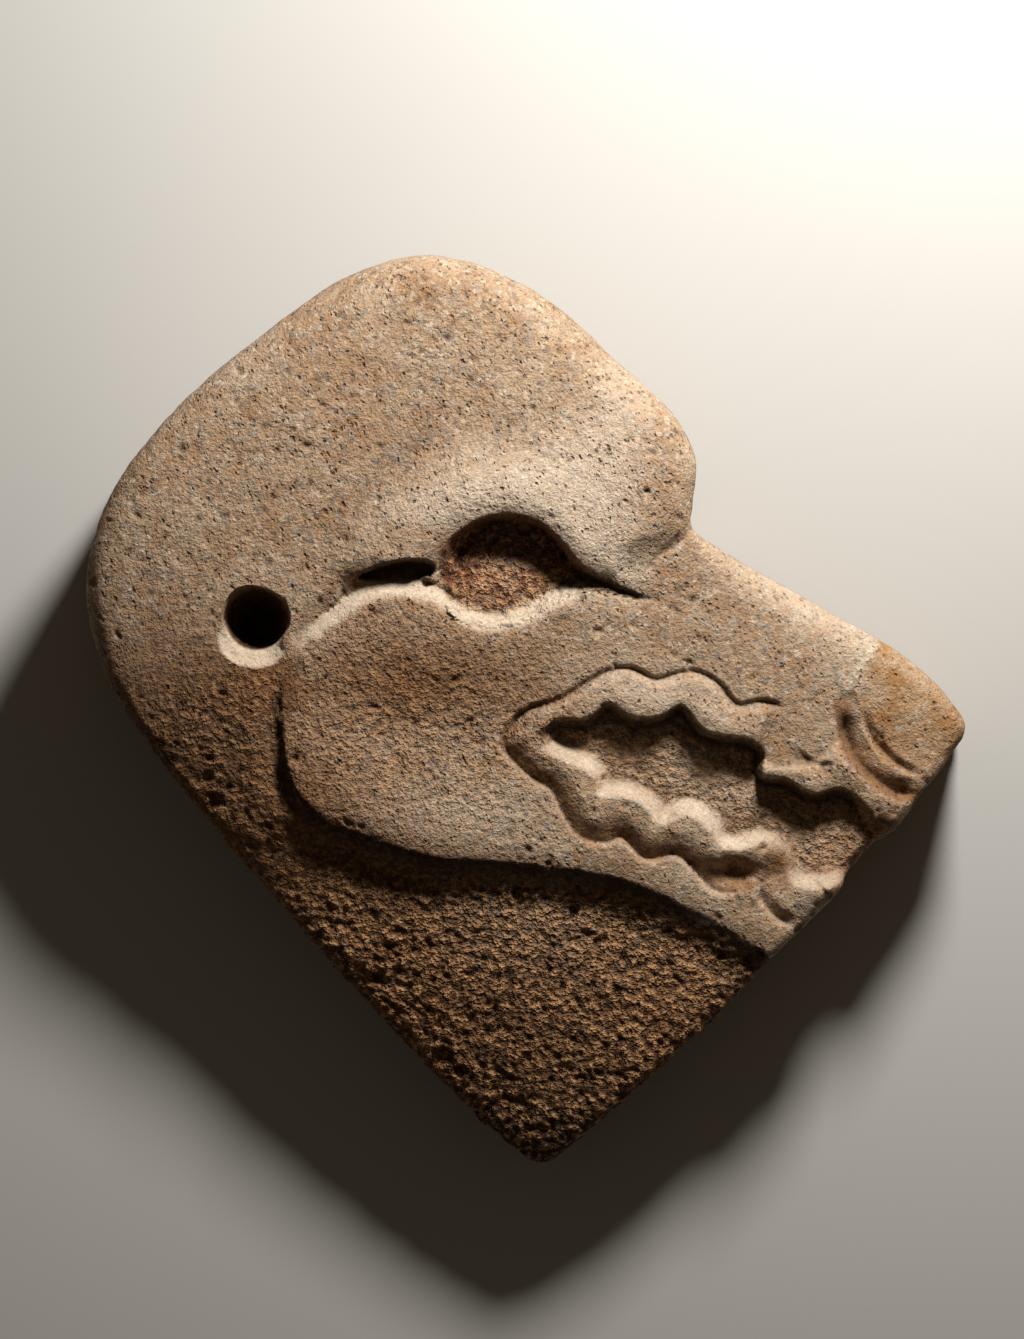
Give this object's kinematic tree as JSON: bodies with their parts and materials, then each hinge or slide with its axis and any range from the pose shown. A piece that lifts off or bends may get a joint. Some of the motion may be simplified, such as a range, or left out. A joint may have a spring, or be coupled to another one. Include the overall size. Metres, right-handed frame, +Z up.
{
  "type": "carved stone hacha",
  "caption": "Thin wedge-shaped block of volcanic stone carved on both faces as a long-muzzled animal's head in profile, with a suspension hole; it lies on its reverse.",
  "frame": {"origin": "middle of the outline's box, on the surface that the stone lies on", "axes": "+Z up, out of the obverse face; +X towards the nose; +Y towards the crown; the stone lies on its reverse face"},
  "size_m": [0.2696, 0.28, 0.057],
  "materials": {
    "volcanic_stone": "pecked and ground, worn, matt, with traces of red pigment in the eye and an orange patina on the nose"
  },
  "bodies": {
    "root": {"carved_head": "volcanic_stone"}
  },
  "joints": []
}
